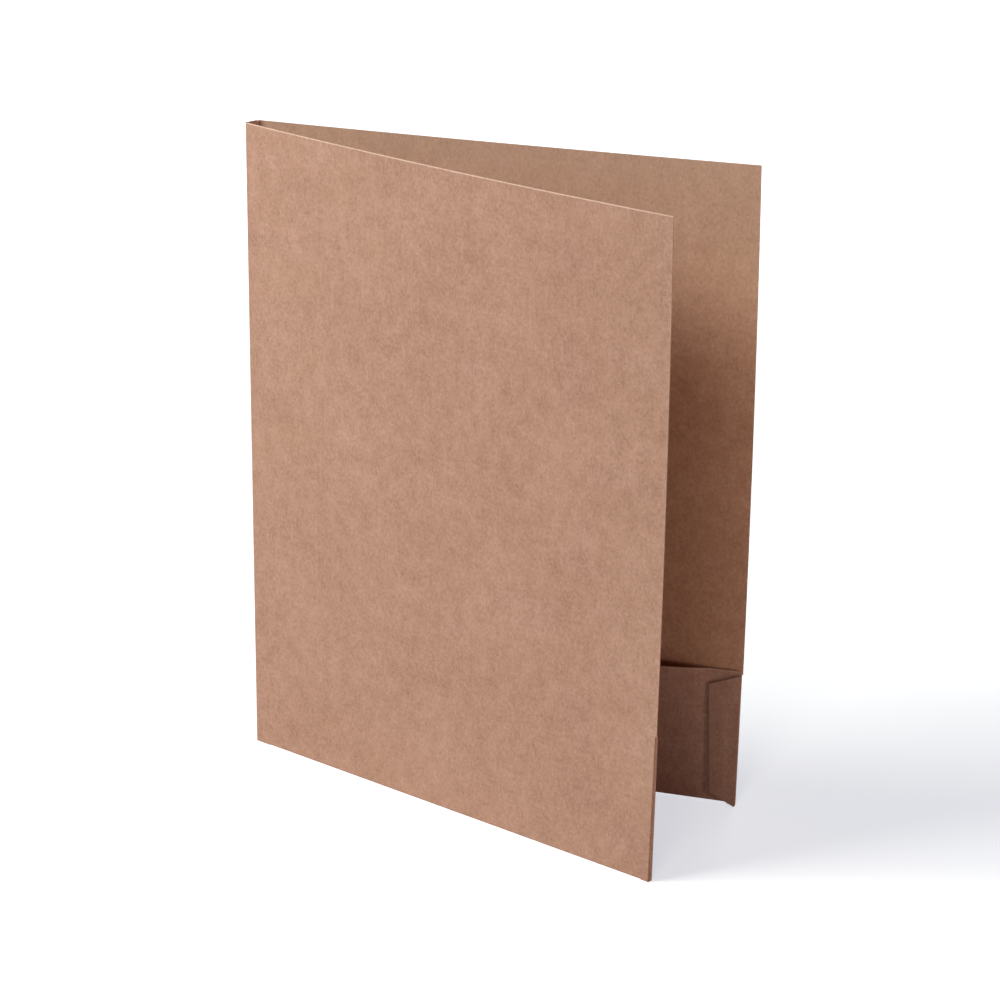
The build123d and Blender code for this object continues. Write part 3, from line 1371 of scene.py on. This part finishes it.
@dataclass(frozen=True)
class Studio:
    """Floor, lamps and camera."""

    lamps: tuple[SoftLight, ...] = (
        SoftLight("key_left", -75, 30, 20, 0.75, (0.9, 1.0, 0.96), 3.0),
        SoftLight("key_high", -55, 40, 20, 0.465, (0.93, 1.0, 1.0), 3.0),
        SoftLight("fill_front", 0, 45, 16, 0.125),
        SoftLight("fill_back", 180, 45, 16, 0.1),
        SoftLight("card_right", 80, -9, 4, 0.155, (1.0, 0.74, 0.7), 0.8),
    )
    ambient: float = 0.01
    ambient_colour: Colour = (1.0, 0.97, 0.97, 1.0)
    floor_half: float = 12.0
    aim: Vector = Vector((0.0, 0.0, 0.15))
    camera_reach: Vector = Vector((0.5598, -1.4272, 0.7304))  # from the foot of the back spine crease
    camera_yaw: float = 17.242
    camera_pitch: float = 21.590
    camera_roll: float = 0.540
    focal_pixels: float = 3465.7
    frame_pixels: float = 1000.0
    sensor_width: float = 36.0

    def build(self) -> None:
        """Makes everything around the folder."""
        self.build_floor()
        self.build_world()
        for lamp in self.lamps:
            lamp.build(self.aim)
        self.build_camera()
        bpy.context.scene.view_settings.view_transform = "Standard"

    def build_floor(self) -> None:
        """Makes the floor, level with the folder's feet."""
        half = self.floor_half
        mesh = bpy.data.meshes.new("floor")
        corners = [(-half, -half, 0), (half, -half, 0), (half, half, 0), (-half, half, 0)]
        mesh.from_pydata(corners, [], [(0, 1, 2, 3)])
        mesh.materials.append(StudioFloor().build())
        floor = bpy.data.objects.new("floor", mesh)
        bpy.context.scene.collection.objects.link(floor)

    def build_world(self) -> None:
        """Makes an even surround that the camera sees as white."""
        world = bpy.data.worlds.new("studio")
        world.use_nodes = True
        world.node_tree.nodes.clear()
        sketch = NodeSketch(world.node_tree)
        dim = sketch.add("ShaderNodeBackground", {"Color": self.ambient_colour, "Strength": self.ambient})
        white = sketch.add("ShaderNodeBackground", {"Color": (1.0, 1.0, 1.0, 1.0), "Strength": 1.0})
        mix = sketch.add("ShaderNodeMixShader", {0: sketch.seen(), 1: dim.outputs[0], 2: white.outputs[0]})
        sketch.add("ShaderNodeOutputWorld", {"Surface": mix.outputs[0]})
        bpy.context.scene.world = world

    def build_camera(self) -> None:
        """Makes the camera at the photograph's viewpoint."""
        yaw, pitch, roll = (radians(a) for a in (self.camera_yaw, self.camera_pitch, self.camera_roll))
        ahead = Vector((-sin(yaw) * cos(pitch), cos(yaw) * cos(pitch), -sin(pitch)))
        level = Vector((cos(yaw), sin(yaw), 0))
        upright = level.cross(ahead)
        right = level * cos(roll) + upright * sin(roll)
        top = upright * cos(roll) - level * sin(roll)
        lens = bpy.data.cameras.new("camera")
        lens.sensor_width = self.sensor_width
        lens.lens = self.focal_pixels * self.sensor_width / self.frame_pixels
        camera = bpy.data.objects.new("camera", lens)
        turn = Matrix((right, top, -ahead)).transposed().to_4x4()
        place = crease_axis("back_spine_fold") + self.camera_reach
        camera.matrix_world = Matrix.Translation(place) @ turn
        bpy.context.scene.collection.objects.link(camera)
        bpy.context.scene.camera = camera


def crease_axis(joint_name: str) -> Vector:
    """Foot of a spine crease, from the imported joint."""
    joint = next(j for j in frame["joints"] if j["name"] == joint_name)
    return Vector(joint["pos_m"])


def build_folder() -> list[Piece]:
    """Builds both leaves and the spine.

    Returns:
        Every piece of the folder.
    """
    back_axis = crease_axis("back_spine_fold")
    front_axis = crease_axis("front_spine_fold")
    blank = Blank.measured(back_axis)
    finishes = Finishes.built()
    tree = CurledBoard()
    heading = front_heading(blank, front_axis)
    leaves = (
        Leaf(
            LeafName.BACK,
            blank,
            back_axis,
            heading=0.0,
            inward=-1.0,
            pocket_height=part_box("back_pocket_panel")[1].z,
            side_top=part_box("back_pocket_side")[1].z,
            spring=0.0125,
            curl=Curl(top=0.0017, edge=-0.0052, corner=-0.0027),
            base_lift=0.0015,
            seed=2.0,
        ),
        Leaf(
            LeafName.FRONT,
            blank,
            front_axis,
            heading=heading,
            inward=1.0,
            pocket_height=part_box("front_pocket_panel")[1].z,
            side_top=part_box("front_pocket_side")[1].z,
            spring=0.003,
            curl=Curl(top=0.0035, edge=-0.0022, corner=-0.0044),
            base_lift=0.0,
            seed=5.0,
        ),
    )
    spine = Spine(blank, back_axis, front_axis, back_start=pi / 2, front_stop=3 * pi / 2 + heading)
    pieces = [piece for leaf in leaves for piece in leaf.build(tree, finishes)]
    return pieces + spine.build(tree, finishes)


def front_heading(blank: Blank, axis: Vector) -> float:
    """Heading of the front leaf.

    Args:
        blank: the blank's sizes.
        axis: its spine crease.

    Returns:
        Angle from +X, found from how far the side crease lies in front of the spine crease.
    """
    crease_low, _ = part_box("front_side_crease")
    return -asin((axis.y - blank.fold_reach - crease_low.y) / blank.side_line)


def main() -> None:
    """Builds the folder and its studio and reports each piece."""
    logging.basicConfig(level=logging.INFO, format="%(name)s: %(message)s")
    for piece in build_folder():
        log.info("%s with %d faces", piece.name, len(piece.data.polygons))
    Studio().build()


if __name__ == "__main__":
    main()
